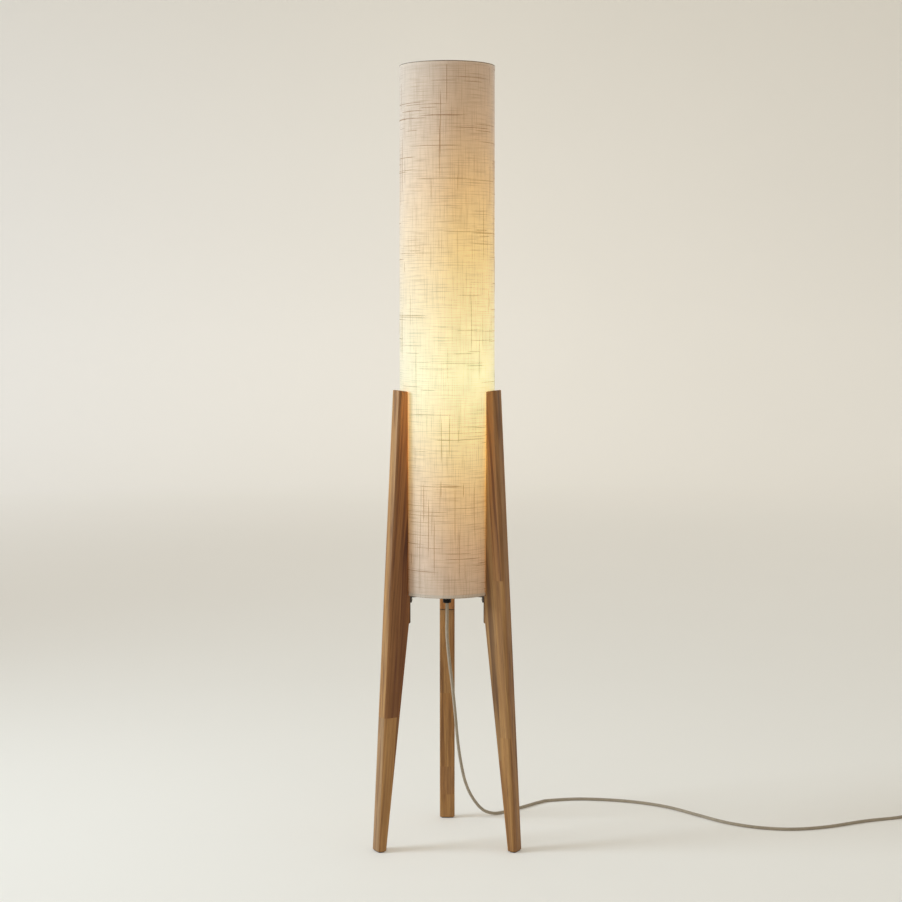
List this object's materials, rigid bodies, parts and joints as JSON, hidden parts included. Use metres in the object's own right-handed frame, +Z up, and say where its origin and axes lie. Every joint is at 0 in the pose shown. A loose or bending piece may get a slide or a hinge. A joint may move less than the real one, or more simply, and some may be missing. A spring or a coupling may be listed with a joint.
{
  "type": "tripod floor lamp",
  "caption": "Floor lamp with a tall cylindrical linen shade held between tapered wooden legs, lit by a screw-in bulb on a steel tube, with a textile cord, foot switch and plug.",
  "frame": {"origin": "middle of the lamp's footprint at floor level, cord left out; the shade's and tube's own axis is 32.4 mm in front of it, at y = -0.0324 m", "axes": "+Z up along the shade, -Y to the front between the two front legs, +X to the right, where the cord runs"},
  "size_m": [1.2924, 0.361, 1.4646],
  "materials": {
    "leg_wood": "oiled acacia, satin, blocks joined end to end",
    "felt": "pressed felt",
    "black_steel": "black powder coat",
    "zinc": "zinc plated",
    "tube_steel": "threaded, plain steel",
    "black_plastic": "fine moulded texture",
    "brown_pvc": "smooth",
    "blue_pvc": "smooth",
    "ceramic": "glazed",
    "brass": "stamped",
    "tin": "dull solder",
    "nickel": "nickel plated",
    "white_plastic": "satin",
    "board_aluminium": "sheet",
    "opal": "opal diffuser",
    "linen": "slub linen, lit from inside",
    "liner_plastic": "translucent sheet",
    "ring_wire": "off-white coat",
    "trim_tape": "folded linen tape",
    "cord_textile": "braided textile sleeve",
    "tie_strap": "hook and loop strap",
    "rubber": "soft matt",
    "phenolic": "moulded",
    "spring_steel": "drawn wire"
  },
  "bodies": {
    "stand": {"leg_left": "leg_wood", "leg_right": "leg_wood", "leg_rear": "leg_wood", "glide_left": "felt", "glide_right": "felt", "glide_rear": "felt", "spider": "black_steel", "spider_screw_left_1": "zinc", "spider_screw_left_2": "zinc", "spider_screw_right_1": "zinc", "spider_screw_right_2": "zinc", "spider_screw_rear_1": "zinc", "spider_screw_rear_2": "zinc", "lamp_tube": "tube_steel", "tube_washer_lower": "zinc", "tube_washer_upper": "zinc", "tube_nut_lower": "zinc", "tube_nut_upper": "zinc", "cord_grip": "black_plastic", "cord_grip_screw": "black_plastic", "supply_cable": "cord_textile", "wire_live": "brown_pvc", "wire_neutral": "blue_pvc", "holder_base": "black_plastic", "holder_shell": "black_plastic", "holder_insert": "ceramic", "thread_sleeve": "brass", "centre_contact": "brass", "terminal_screw_live": "brass", "terminal_screw_neutral": "brass", "cord_run": "cord_textile", "cord_link": "cord_textile", "cord_lead": "cord_textile", "cord_coil": "cord_textile", "coil_tie": "tie_strap", "switch_base": "rubber", "switch_cover": "black_plastic", "switch_contacts": "phenolic", "switch_spring": "spring_steel", "switch_relief_in": "rubber", "switch_relief_out": "rubber", "plug_body": "black_plastic", "plug_pin_left": "nickel", "plug_pin_right": "nickel", "plug_relief": "rubber"},
    "shade": {"shade_fabric": "linen", "shade_liner": "liner_plastic", "shade_ring_bottom": "ring_wire", "shade_ring_top": "ring_wire", "shade_trim_bottom": "trim_tape", "shade_trim_top": "trim_tape"},
    "bulb_contact": {"bulb_tip": "tin"},
    "bulb": {"bulb_cap": "nickel", "bulb_collar": "white_plastic", "bulb_board": "board_aluminium", "bulb_globe": "opal"},
    "button": {"switch_button": "black_plastic"}
  },
  "joints": [
    {"name": "shade_lift", "type": "slide", "parent": "stand", "child": "shade", "axis": [0, 0, 1], "range_m": [0, 0.42]},
    {"name": "bulb_rise", "type": "slide", "parent": "stand", "child": "bulb_contact", "axis": [0, 0, 1], "range_m": [0, 0.01815]},
    {"name": "bulb_turn", "type": "hinge", "parent": "bulb_contact", "child": "bulb", "pos_m": [0, -0.0324, 0.7795], "axis": [0, 0, 1], "range_deg": [0, 1800]},
    {"name": "button_press", "type": "slide", "parent": "stand", "child": "button", "axis": [0, 0, -1], "range_m": [0, 0.003], "stiffness_N_per_m": 800, "deforming": ["switch_spring"]}
  ],
  "couplings": [
    {"joint": "bulb_rise", "follows": "bulb_turn", "m_per_rad": 0.00057773}
  ]
}
